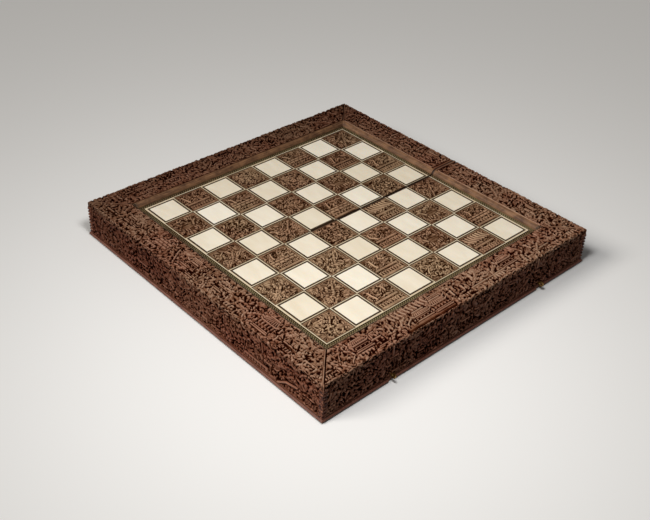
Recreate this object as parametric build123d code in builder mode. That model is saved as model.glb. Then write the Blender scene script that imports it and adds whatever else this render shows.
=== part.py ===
"""A folding games box, opened flat with its chessboard upwards.

Two shallow trays of carved wood are hinged along the middle of the board. Their outer faces are
the chessboard, their insides the two tables of a backgammon board. The row frame has X across the
fold, Y along it and Z up, with the origin under the middle of the board. All sizes are in mm.
"""
import math
import os

from build123d import *

os.makedirs("parts", exist_ok=True)

# The chequered field
square_pitch = 43.0
squares_across = 8
inlay_thickness = 2.5
inlay_joint = 0.05
plate_line_width = 2.4
ivory_line_width = 1.2
panel_line_width = 0.8

# The carved squares, whose main forms stand on a sunk ground
panel_relief = 1.2
parapet_width = 3.4
rampart_width = 9.0
bough_width = 3.6
twig_width = 2.6
body_width = 7.0

# The border round the field, from the field outwards
edge_line_width = 1.0
bead_strip_width = 6.0
slip_width = 5.0
slip_rise = 6.0
slip_foot = 0.6
slip_hollow = 0.7
rail_width = 41.0
rail_rise = 7.5
rail_round = 3.0
rail_inner_round = 1.5

# The rails' crowns, where houses and leaning trunks in turn stand on a sunk ground
crown_relief = 1.4
crown_inner_rim = 3.5
crown_outer_rim = 6.0
crown_form_pitch = 60.0
house_length = 24.0
house_width = 13.0
trunk_length = 30.0
trunk_width = 4.0
trunk_lean = 35.0

# The carcass of each tray
wall_thickness = 12.0
ledge_width = 6.0
fold_wall_thickness = 10.0
tray_depth = 29.5
floor_thickness = 3.0
ground_thickness = 8.0
floor_fit = 0.1
seam_gap = 0.6
closing_gap = 0.3

# The corner posts and the fillet along the foot of the sides
post_size = 6.0
post_notch = 1.8
post_notch_pitch = 4.4
post_notch_count = 8
moulding_reach = 1.5
moulding_height = 3.0
moulding_lift = 0.2
moulding_break = 9.0

# The backgammon points inside
points_across = 6
point_length = 160.0
point_thickness = 1.0
point_side_gap = 2.0
point_wall_gap = 1.5

# The two butt hinges
hinge_places = (-110.0, 110.0)
hinge_length = 50.0
knuckle_count = 3
knuckle_radius = 1.25
knuckle_gap = 0.2
knuckle_clearance = 0.35
leaf_width = 9.0
leaf_thickness = 1.0
leaf_fit = 0.1
hinge_pin_radius = 0.6
running_clearance = 0.05

# The two hooks on one tray and their eyes on the other
fastener_places = (-124.0, 135.0)
hook_width = 1.6
eye_width = 1.6
eye_radius = 2.6
eye_shank_radius = 0.7
eye_stand_off = 3.6
eye_height = 8.0
pivot_height = 9.0
hook_bore_radius = 1.25
hook_loop_radius = 2.9
hook_bend_radius = 1.8
hook_reach_past_eye = 2.6
hook_arm_before_eye = 3.0
hook_floor_gap = 0.3
pivot_head_radius = 2.7
pivot_collar_radius = 2.0
pivot_side_play = 0.15
fastener_depth = 6.0

# Levels and outlines that follow from the sizes above
axis_z = knuckle_radius
rim_z = axis_z + closing_gap / 2
floor_z = rim_z + tray_depth
ground_z = floor_z + floor_thickness
inlay_z = ground_z + ground_thickness
field_z = inlay_z + inlay_thickness
rail_top_z = field_z + rail_rise
slip_top_z = field_z + slip_rise
seam_x = seam_gap / 2
field_half = square_pitch * squares_across / 2
edge_line_out = field_half + edge_line_width
bead_strip_out = edge_line_out + bead_strip_width
slip_out = bead_strip_out + slip_width
outer_half = slip_out + rail_width
wall_inner = outer_half - wall_thickness
ledge_out = outer_half - ledge_width
fold_wall_inner = seam_x + fold_wall_thickness
pivot_z = rim_z + pivot_height
eye_z = rim_z + eye_height
fitting_reach = eye_stand_off + eye_radius + eye_width / 2
front_plane = Plane(origin=(0, 0, 0), x_dir=(0, -1, 0), z_dir=(-1, 0, 0))


def write(name, shape):
    """Label one finished piece and write it under its node's name."""
    shape.label = name
    export_step(shape, f"parts/{name}.step")


def write_both(name, shape):
    """Write a piece of the right tray, and its mirror image for the left tray."""
    write(f"right_{name}", shape)
    write(f"left_{name}", mirror(shape, about=Plane.YZ))


def outer_run(section):
    """Run a section (X outwards, Y up) along the outer side, mitred at both corners."""
    reach = outer_half + moulding_reach
    with BuildPart() as run:
        with BuildSketch(Plane.XZ):
            add(section)
        extrude(amount=reach, both=True)
        with BuildSketch(Plane.XY):
            Polygon((0, 0), (reach, -reach), (reach, reach), align=None)
        extrude(amount=rail_top_z, mode=Mode.INTERSECT)
    return run.part


def front_run(section):
    """Run the same section along the front, mitred at the corner and square at the seam."""
    reach = outer_half + moulding_reach
    with BuildPart() as run:
        with BuildSketch(front_plane):
            add(section)
        extrude(amount=reach, both=True)
        with BuildSketch(Plane.XY):
            Polygon((seam_x, -seam_x), (seam_x, -reach), (reach, -reach), align=None)
        extrude(amount=rail_top_z, mode=Mode.INTERSECT)
    return run.part


def back_run(section):
    """Run the same section along the back: the front run seen in a mirror."""
    with BuildPart() as run:
        add(front_run(section))
        mirror(about=Plane.XZ, mode=Mode.REPLACE)
    return run.part


def three_runs(section):
    """The three lengths of a border strip, which meet in the mitres but stay separate."""
    return Compound([outer_run(section).solid(), front_run(section).solid(), back_run(section).solid()])


def strip_section(inner, outer):
    """A plain rectangular strip of the inlay's thickness."""
    with BuildSketch() as section:
        with Locations(((inner + outer) / 2, inlay_z + inlay_thickness / 2)):
            Rectangle(outer - inner, inlay_thickness)
    return section.sketch


def shade_cells(tray_side, shade):
    """Column and row of each square of one shade in one tray, with tray side 1 on the right."""
    half_count = squares_across // 2
    columns = range(half_count, squares_across) if tray_side > 0 else range(half_count)
    return [
        (column, row) for column in columns for row in range(squares_across) if (column + row) % 2 == shade
    ]


def cell_centre(column, row):
    """Centre of a square, with columns counted from the left and rows from the front."""
    return ((column + 0.5) * square_pitch - field_half, (row + 0.5) * square_pitch - field_half)


def inlay(tray_side, shade, side, hole_side, thickness):
    """Squares of one side length laid in a tray, open in the middle if asked."""
    centres = [cell_centre(column, row) for column, row in shade_cells(tray_side, shade)]
    with BuildPart() as laid:
        with BuildSketch(Plane.XY.offset(inlay_z)):
            with Locations(*centres):
                Rectangle(side, side)
            if hole_side > 0:
                with Locations(*centres):
                    Rectangle(hole_side, hole_side, mode=Mode.SUBTRACT)
            with Locations((tray_side * (seam_x + outer_half / 2), 0)):
                Rectangle(outer_half, 2 * outer_half, mode=Mode.INTERSECT)
        extrude(amount=thickness)
    return laid.part


# Carcass walls: the side walls are rebated at the top for the ground board
with BuildSketch() as wall_section:
    Polygon(
        (wall_inner, rim_z),
        (outer_half, rim_z),
        (outer_half, inlay_z),
        (ledge_out, inlay_z),
        (ledge_out, ground_z),
        (wall_inner, ground_z),
        align=None,
    )

post_centre = outer_half - post_size / 2
post_height = inlay_z - rim_z

with BuildPart() as post_blocks:
    with Locations((post_centre, -post_centre, rim_z), (post_centre, post_centre, rim_z)):
        Box(post_size, post_size, post_height, align=(Align.CENTER, Align.CENTER, Align.MIN))

with BuildPart() as wall_outer:
    add(outer_run(wall_section.sketch))
    add(post_blocks.part, mode=Mode.SUBTRACT)
    outer_wall_face = Plane(origin=(outer_half, 0, 0), x_dir=(0, 1, 0), z_dir=(1, 0, 0))
plain_outer_wall = wall_outer.part

with BuildPart() as wall_front:
    add(front_run(wall_section.sketch))
    add(post_blocks.part, mode=Mode.SUBTRACT)
write_both("wall_front", wall_front.part)

with BuildPart() as wall_back:
    add(back_run(wall_section.sketch))
    add(post_blocks.part, mode=Mode.SUBTRACT)
write_both("wall_back", wall_back.part)


def drilled_outer_wall(height, radius):
    """The outer wall with one hole for each fastener's shank."""
    with BuildPart() as wall:
        add(plain_outer_wall)
        with BuildSketch(outer_wall_face):
            with Locations(*[(place, height) for place in fastener_places]):
                Circle(radius)
        extrude(amount=-fastener_depth, mode=Mode.SUBTRACT)
    return wall.part


pivot_shank_radius = hook_bore_radius - running_clearance
write("right_wall_outer", drilled_outer_wall(eye_z, eye_shank_radius + running_clearance))
with BuildPart() as left_wall_outer:
    add(drilled_outer_wall(pivot_z, pivot_shank_radius + running_clearance))
    mirror(about=Plane.YZ, mode=Mode.REPLACE)
write("left_wall_outer", left_wall_outer.part)

# Corner posts with a ladder of notches down both outer faces
post_mid_z = rim_z + moulding_height + (post_height - moulding_height) / 2
notch_levels = [
    post_mid_z + (step - (post_notch_count - 1) / 2) * post_notch_pitch
    for step in range(post_notch_count)
]

with BuildPart() as corner_posts:
    add(post_blocks.part)
    with BuildSketch(Plane.XZ):
        with Locations(*[(outer_half, level) for level in notch_levels]):
            Rectangle(post_notch, post_notch, rotation=45)
    extrude(amount=outer_half, both=True, mode=Mode.SUBTRACT)
    with BuildSketch(Plane.YZ):
        with Locations(*[(edge * outer_half, level) for level in notch_levels for edge in (-1, 1)]):
            Rectangle(post_notch, post_notch, rotation=45)
    extrude(amount=outer_half, mode=Mode.SUBTRACT)
write_both("corner_posts", corner_posts.part)

# Fillet along the foot of the sides, interrupted where a hook or an eye stands
moulding_foot_z = rim_z + moulding_lift
with BuildSketch() as moulding_section:
    Polygon(
        (outer_half, moulding_foot_z),
        (outer_half + moulding_reach, moulding_foot_z),
        (outer_half + moulding_reach, rim_z + moulding_height - moulding_reach),
        (outer_half, rim_z + moulding_height),
        align=None,
    )

with BuildPart() as outer_moulding:
    add(outer_run(moulding_section.sketch))
    with Locations(*[(outer_half + moulding_reach / 2, place, rim_z) for place in fastener_places]):
        Box(2 * moulding_reach, moulding_break, 3 * moulding_height, mode=Mode.SUBTRACT)
base_moulding = Compound(
    [
        *outer_moulding.solids(),
        front_run(moulding_section.sketch).solid(),
        back_run(moulding_section.sketch).solid(),
    ]
)
write_both("base_moulding", base_moulding)

# Ground board under the inlay, resting on the ledges and on the fold wall
with BuildPart() as ground_board:
    with Locations(((seam_x + ledge_out) / 2, 0, ground_z)):
        Box(
            ledge_out - seam_x,
            2 * ledge_out,
            ground_thickness,
            align=(Align.CENTER, Align.CENTER, Align.MIN),
        )
write_both("ground_board", ground_board.part)

# Carved rails on top of the walls
ground_in = slip_out + crown_inner_rim
ground_out = outer_half - crown_outer_rim
crown_middle = (ground_in + ground_out) / 2
crown_ground_z = rail_top_z - crown_relief

with BuildSketch() as rail_section:
    with Locations(((slip_out + outer_half) / 2, (inlay_z + rail_top_z) / 2)):
        Rectangle(rail_width, rail_top_z - inlay_z)
    top_corners = rail_section.vertices().group_by(Axis.Y)[-1].sort_by(Axis.X)
    fillet(top_corners[0], rail_inner_round)
    outer_corner = rail_section.vertices().group_by(Axis.Y)[-1].sort_by(Axis.X)[-1]
    fillet(outer_corner, rail_round)
    with Locations((crown_middle, rail_top_z)):
        Rectangle(ground_out - ground_in, 2 * crown_relief, mode=Mode.SUBTRACT)


def carved_rail(run, places):
    """A rail with the main forms of its scenes, at places that turn with the rail."""
    with BuildPart() as rail:
        add(run)
        with BuildSketch(Plane.XY.offset(crown_ground_z)):
            with Locations(*places[::2]):
                Rectangle(house_width, house_length)
            with Locations(*places[1::2]):
                Rectangle(trunk_width, trunk_length, rotation=trunk_lean)
        extrude(amount=crown_relief)
    return rail.part


form_count = int(ground_in / crown_form_pitch)
form_steps = [(step + 0.5) * crown_form_pitch for step in range(form_count)]
outer_places = [(crown_middle, -step) for step in reversed(form_steps)]
outer_places += [(crown_middle, step) for step in form_steps]
front_places = [Location((step, -crown_middle, 0), (0, 0, 90)) for step in form_steps]
back_places = [Location((step, crown_middle, 0), (0, 0, 90)) for step in form_steps]
write_both("rail_outer", carved_rail(outer_run(rail_section.sketch), outer_places))
write_both("rail_front", carved_rail(front_run(rail_section.sketch), front_places))
write_both("rail_back", carved_rail(back_run(rail_section.sketch), back_places))

# Plain hollow slip between the rail and the field
with BuildSketch() as slip_section:
    with BuildLine():
        bed = Line((bead_strip_out, inlay_z), (slip_out, inlay_z))
        back = Line(bed @ 1, (slip_out, slip_top_z))
        hollow = SagittaArc(back @ 1, (bead_strip_out, field_z + slip_foot), -slip_hollow)
        Line(hollow @ 1, bed @ 0)
    make_face()
write_both("inner_slip", three_runs(slip_section.sketch))

# Flat strips round the field
write_both("bead_strip", three_runs(strip_section(edge_line_out, bead_strip_out)))
write_both("edge_line", three_runs(strip_section(field_half, edge_line_out)))

# Squares and their lines
cell_side = square_pitch - 2 * inlay_joint
ivory_line_in = cell_side - 2 * ivory_line_width
plate_side = ivory_line_in - 2 * plate_line_width
panel_side = cell_side - 2 * panel_line_width


ivory_shade = 0
carved_shade = 1
tray_sides = {"right": 1, "left": -1}

for tray, tray_side in tray_sides.items():
    plates = inlay(tray_side, ivory_shade, plate_side, 0.0, inlay_thickness)
    write(f"{tray}_ivory_squares", plates)
    ivory_lines = inlay(tray_side, ivory_shade, cell_side, ivory_line_in, inlay_thickness)
    write(f"{tray}_ivory_lines", ivory_lines)
    with BuildPart() as ebony_lines:
        add(inlay(tray_side, ivory_shade, ivory_line_in, plate_side, inlay_thickness))
        add(inlay(tray_side, carved_shade, cell_side, panel_side, inlay_thickness))
    write(f"{tray}_ebony_lines", ebony_lines.part)

# Carved squares. A scene's forms run between two places, given as shares of the panel's side from
# its left front corner, and its foot lies towards the right.
scene_forms = {
    "terrace": (
        ((0.62, 0.07), (0.62, 0.93), parapet_width),
        ((0.92, 0.07), (0.92, 0.93), parapet_width),
    ),
    "rampart": (
        ((0.57, 0.07), (0.57, 0.93), rampart_width),
        ((0.90, 0.07), (0.90, 0.93), parapet_width),
    ),
    "stair": (
        ((0.42, 0.20), (0.10, 0.36), parapet_width),
        ((0.42, 0.64), (0.10, 0.80), parapet_width),
        ((0.62, 0.07), (0.62, 0.93), parapet_width),
    ),
    "trunk": (
        ((0.95, 0.30), (0.12, 0.86), bough_width),
        ((0.70, 0.47), (0.30, 0.16), twig_width),
    ),
    "deer": (
        ((0.52, 0.30), (0.52, 0.70), body_width),
        ((0.56, 0.32), (0.84, 0.28), twig_width),
        ((0.56, 0.68), (0.84, 0.72), twig_width),
    ),
    "tree": (
        ((0.96, 0.50), (0.14, 0.56), bough_width),
        ((0.60, 0.52), (0.34, 0.14), twig_width),
    ),
    "knots": (
        ((0.24, 0.24), (0.42, 0.42), body_width),
        ((0.62, 0.70), (0.80, 0.52), body_width),
    ),
    "leaves": (
        ((0.20, 0.20), (0.80, 0.80), bough_width),
        ((0.20, 0.80), (0.80, 0.20), bough_width),
    ),
}

# Scenes of the carved squares: one line for each column, from the front to the back
panel_scenes = (
    ("terrace", "leaves", "rampart", "trunk"),
    ("deer", "rampart", "leaves", "terrace"),
    ("knots", "tree", "deer", "terrace"),
    ("tree", "trunk", "rampart", "knots"),
    ("rampart", "knots", "stair", "trunk"),
    ("tree", "trunk", "terrace", "deer"),
    ("trunk", "terrace", "deer", "rampart"),
    ("leaves", "terrace", "knots", "stair"),
)


def scene_form(start, end, width):
    """One straight form of a scene, drawn about the middle of its panel."""
    (x0, y0), (x1, y1) = start, end
    with Locations((panel_side * ((x0 + x1) / 2 - 0.5), panel_side * ((y0 + y1) / 2 - 0.5))):
        Rectangle(
            panel_side * math.hypot(x1 - x0, y1 - y0),
            width,
            rotation=math.degrees(math.atan2(y1 - y0, x1 - x0)),
        )


for tray, tray_side in tray_sides.items():
    with BuildPart() as panels:
        add(inlay(tray_side, carved_shade, panel_side, 0.0, inlay_thickness - panel_relief))
        with BuildSketch(Plane.XY.offset(field_z - panel_relief)):
            for column, row in shade_cells(tray_side, carved_shade):
                scenes = panel_scenes[column % len(panel_scenes)]
                with Locations(cell_centre(column, row)):
                    for form in scene_forms[scenes[row // 2 % len(scenes)]]:
                        scene_form(*form)
        extrude(amount=panel_relief)
    write(f"{tray}_carved_squares", panels.part)

# Backgammon table inside each tray
table_width = wall_inner - fold_wall_inner
point_pitch = table_width / points_across
point_width = point_pitch - point_side_gap
point_base_y = wall_inner - point_wall_gap


def points(shade):
    """Tapering points of one shade: they alternate along each end of the table."""
    with BuildPart() as laid:
        with BuildSketch(Plane.XY.offset(floor_z)):
            for end in (-1, 1):
                for place in range(points_across):
                    if (place + (end + 1) // 2) % 2 != shade:
                        continue
                    middle = fold_wall_inner + (place + 0.5) * point_pitch
                    base_y = end * point_base_y
                    Polygon(
                        (middle - point_width / 2, base_y),
                        (middle + point_width / 2, base_y),
                        (middle, base_y - end * point_length),
                        align=None,
                    )
        extrude(amount=point_thickness)
    return laid.part


light_points = points(0)
dark_points = points(1)
write_both("light_points", light_points)
write_both("dark_points", dark_points)

with BuildPart() as tray_floor:
    with Locations(((fold_wall_inner + wall_inner) / 2, 0, floor_z)):
        Box(
            table_width - 2 * floor_fit,
            2 * (wall_inner - floor_fit),
            floor_thickness,
            align=(Align.CENTER, Align.CENTER, Align.MIN),
        )
    add(light_points, mode=Mode.SUBTRACT)
    add(dark_points, mode=Mode.SUBTRACT)
write_both("tray_floor", tray_floor.part)

# Hinges: each has three knuckles, the outer two on the left leaf and the middle one on the right
knuckle_pitch = hinge_length / knuckle_count
knuckle_length = knuckle_pitch - knuckle_gap


def knuckle_places(place, first):
    """Every second knuckle of one hinge, counted from its front end."""
    start = place - hinge_length / 2 + knuckle_pitch / 2
    return [start + step * knuckle_pitch for step in range(first, knuckle_count, 2)]


def rod(places, radius, length, height, mode=Mode.ADD):
    """Round bars along Y, centred on the hinge line at the given places."""
    with Locations(*[Location((0, place, height), (90, 0, 0)) for place in places]):
        Cylinder(radius, length, mode=mode)


def hinge_leaf(place, first_own, first_other):
    """One leaf on the right of the hinge line, with its knuckles bored for the pin."""
    with BuildPart() as leaf:
        with BuildSketch(Plane.XY.offset(rim_z)):
            with Locations((leaf_width / 2, place)):
                Rectangle(leaf_width, hinge_length - knuckle_gap)
        extrude(amount=leaf_thickness)
        others = knuckle_places(place, first_other)
        own = knuckle_places(place, first_own)
        rod(others, knuckle_radius + knuckle_gap, knuckle_pitch + knuckle_gap, axis_z, Mode.SUBTRACT)
        rod(own, knuckle_radius, knuckle_length, axis_z)
        rod([place], hinge_pin_radius + running_clearance, hinge_length, axis_z, Mode.SUBTRACT)
    return leaf.part


for hinge_name, place in zip(("front_hinge", "back_hinge"), hinge_places):
    write(f"{hinge_name}_right_leaf", hinge_leaf(place, 1, 0))
    with BuildPart() as left_leaf:
        add(hinge_leaf(place, 0, 1))
        mirror(about=Plane.YZ, mode=Mode.REPLACE)
    write(f"{hinge_name}_left_leaf", left_leaf.part)
    with BuildPart() as hinge_pin:
        rod([place], hinge_pin_radius, hinge_length - knuckle_gap, axis_z)
    write(f"{hinge_name}_pin", hinge_pin.part)

# Fold walls, with the leaves let into their rims and a groove for the barrels
with BuildPart() as wall_fold:
    with Locations(((seam_x + fold_wall_inner) / 2, 0, rim_z)):
        Box(
            fold_wall_thickness,
            2 * wall_inner,
            ground_z - rim_z,
            align=(Align.CENTER, Align.CENTER, Align.MIN),
        )
    with Locations(*[(leaf_width / 2, place, rim_z) for place in hinge_places]):
        Box(
            leaf_width + 2 * leaf_fit,
            hinge_length + 2 * leaf_fit,
            2 * leaf_thickness,
            mode=Mode.SUBTRACT,
        )
    rod(
        hinge_places,
        knuckle_radius + knuckle_clearance,
        hinge_length + 2 * leaf_fit,
        axis_z,
        Mode.SUBTRACT,
    )
write_both("wall_fold", wall_fold.part)

# Eyes: rings that stand out of the right tray's outer wall
eye_x = outer_half + eye_stand_off


def eye(place):
    """A ring in the upright plane across the wall, on a shank driven into the wood."""
    shank_length = fastener_depth + eye_stand_off - eye_radius
    with BuildPart() as ring:
        with BuildSketch(Plane.XZ.offset(-place)):
            with Locations((eye_x, eye_z)):
                Circle(eye_radius + eye_width / 2)
                Circle(eye_radius - eye_width / 2, mode=Mode.SUBTRACT)
        extrude(amount=eye_width / 2, both=True)
        with BuildSketch(Plane.YZ.offset(outer_half - fastener_depth)):
            with Locations((place, eye_z)):
                Circle(eye_shank_radius)
        extrude(amount=shank_length)
    return ring.part


# Hooks: flat arms on pivots in the left tray's outer wall. Their tips are arcs about the pivot,
# so that they pass through the eyes when the box is shut.
latch_radius = pivot_height + eye_height + closing_gap
tip_angle = math.acos((pivot_z - hook_width / 2 - hook_floor_gap) / latch_radius)
tip_span = (hook_reach_past_eye + hook_arm_before_eye) / latch_radius
arm_angle = tip_angle + tip_span
engaged_arm_angle = hook_arm_before_eye / latch_radius
hook_x = -(outer_half + eye_stand_off)


def polar(radius, angle):
    """A point at an angle from straight down, turning towards the back."""
    return (radius * math.sin(angle), -radius * math.cos(angle))


def hook(place):
    """A hook stamped from a flat strip: a loop, a straight arm, a bend and the curved tip."""
    plane = Plane(
        origin=(hook_x - hook_width / 2, place, pivot_z), x_dir=(0, 1, 0), z_dir=(1, 0, 0)
    )
    bend_angle = arm_angle - math.asin(hook_bend_radius / (latch_radius - hook_bend_radius))
    arm_end = (latch_radius - hook_bend_radius) * math.cos(arm_angle - bend_angle)
    mid_angle = (bend_angle + tip_angle) / 2
    bend_start = polar(arm_end, arm_angle)
    bend_end = polar(latch_radius, bend_angle)
    with BuildPart() as strip:
        with BuildSketch(plane):
            with BuildLine():
                Line(polar(hook_bore_radius, arm_angle), bend_start)
                TangentArc(bend_start, bend_end, tangent=polar(1, arm_angle))
                ThreePointArc(
                    bend_end, polar(latch_radius, mid_angle), polar(latch_radius, tip_angle)
                )
            trace(line_width=hook_width)
            Circle(hook_loop_radius)
            Circle(hook_bore_radius, mode=Mode.SUBTRACT)
        extrude(amount=hook_width)
    return strip.part


def hook_pivot(place):
    """A shouldered pin with a flat head that the hook's loop turns on."""
    head_height = fitting_reach - eye_stand_off - hook_width / 2 - pivot_side_play
    collar_length = eye_stand_off - hook_width / 2 - pivot_side_play
    wall_plane = Plane(origin=(-outer_half, place, pivot_z), x_dir=(0, -1, 0), z_dir=(-1, 0, 0))
    with BuildPart() as pivot:
        with BuildSketch(wall_plane.offset(-fastener_depth)):
            Circle(pivot_shank_radius)
        extrude(amount=fastener_depth + fitting_reach - head_height / 2)
        with BuildSketch(wall_plane):
            Circle(pivot_collar_radius)
        extrude(amount=collar_length)
        with BuildSketch(wall_plane.offset(fitting_reach - head_height)):
            Circle(pivot_head_radius)
        extrude(amount=head_height)
    return pivot.part


for fastener_name, place in zip(("front", "back"), fastener_places):
    write(f"{fastener_name}_eye", eye(place))
    write(f"{fastener_name}_hook", hook(place))
    write(f"{fastener_name}_hook_pivot", hook_pivot(place))

print("overall half width", outer_half, "fittings reach", outer_half + fitting_reach)
print("rim", rim_z, "field", field_z, "top", rail_top_z)
print("hook swings from rest to shut by", math.degrees(engaged_arm_angle - arm_angle), "degrees")
print("hook pivot at", hook_x, pivot_z, "and fold axis at", axis_z)
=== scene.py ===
"""Looks of the folding games box: carved wood, bone plates, beaded strips and brass.

Lengths are written in millimetres and turned into metres by MM where they meet Blender.
"""
from math import asin, copysign, cos, pi, radians, sin, sqrt

import bmesh
import bpy
import numpy as np
from mathutils import Matrix, Vector


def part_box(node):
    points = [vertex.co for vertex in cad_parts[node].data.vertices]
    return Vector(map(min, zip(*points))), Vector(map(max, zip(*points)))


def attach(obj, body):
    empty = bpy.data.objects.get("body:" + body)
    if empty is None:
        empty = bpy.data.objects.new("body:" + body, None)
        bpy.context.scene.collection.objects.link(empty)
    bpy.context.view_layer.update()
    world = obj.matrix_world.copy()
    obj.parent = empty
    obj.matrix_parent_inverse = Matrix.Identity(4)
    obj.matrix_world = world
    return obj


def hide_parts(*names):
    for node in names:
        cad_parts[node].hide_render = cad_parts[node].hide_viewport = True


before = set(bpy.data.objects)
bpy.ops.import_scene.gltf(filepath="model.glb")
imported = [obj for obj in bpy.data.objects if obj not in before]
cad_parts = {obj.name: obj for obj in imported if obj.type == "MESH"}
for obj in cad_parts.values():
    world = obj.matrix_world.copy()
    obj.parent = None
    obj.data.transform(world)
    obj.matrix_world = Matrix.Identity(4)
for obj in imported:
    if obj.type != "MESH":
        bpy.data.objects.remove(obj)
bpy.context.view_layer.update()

MM = 0.001


def corner(node, which):
    """Lowest (0) or highest (1) corner of a node's box in millimetres."""
    return [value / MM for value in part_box(node)[which]]


# Sizes read from the frame, in millimetres
SEAM, _, GROUND_Z = corner("right_ground_board", 0)
LEDGE, _, INLAY_Z = corner("right_ground_board", 1)
WALL_IN, _, RIM_Z = corner("right_wall_outer", 0)
RAIL_IN = corner("right_rail_outer", 0)[0]
OUTER, _, RAIL_TOP = corner("right_rail_outer", 1)
FIELD_Z = corner("right_ivory_squares", 1)[2]
MOULDING_TOP = corner("right_base_moulding", 1)[2]
BEAD_IN = corner("right_edge_line", 1)[0]
BEAD_OUT = corner("right_bead_strip", 1)[0]

# Sizes that the frame doesn't tell
EDGE_LINE = 1.0
PITCH = (BEAD_IN - EDGE_LINE) / 4
LINE_OUT = 0.05
LINE_WIDTH = 1.2
PANEL_MARGIN = LINE_OUT + 0.8
PANEL_SIDE = PITCH - 2 * PANEL_MARGIN
RAIL_WIDTH = OUTER - RAIL_IN
IN_ROUND = 1.5
ROUND = 3.0
POST_IN = OUTER - 6.0

# Fineness of the carving, its deepest cut and the seeds of its draws
BORDER_STEP, PANEL_STEP, BEAD_STEP = ((0.7, 0.58, 0.5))
GROUND = -2.7
BORDER_SEED = 100
PANEL_SEED = 500

SIDES = (("left", -1), ("right", 1))
RUNS = ("outer", "front", "back")


def away(place, angle, reach):
    """The place at a distance from another, in a direction."""
    return place[0] + cos(angle) * reach, place[1] + sin(angle) * reach


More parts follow.
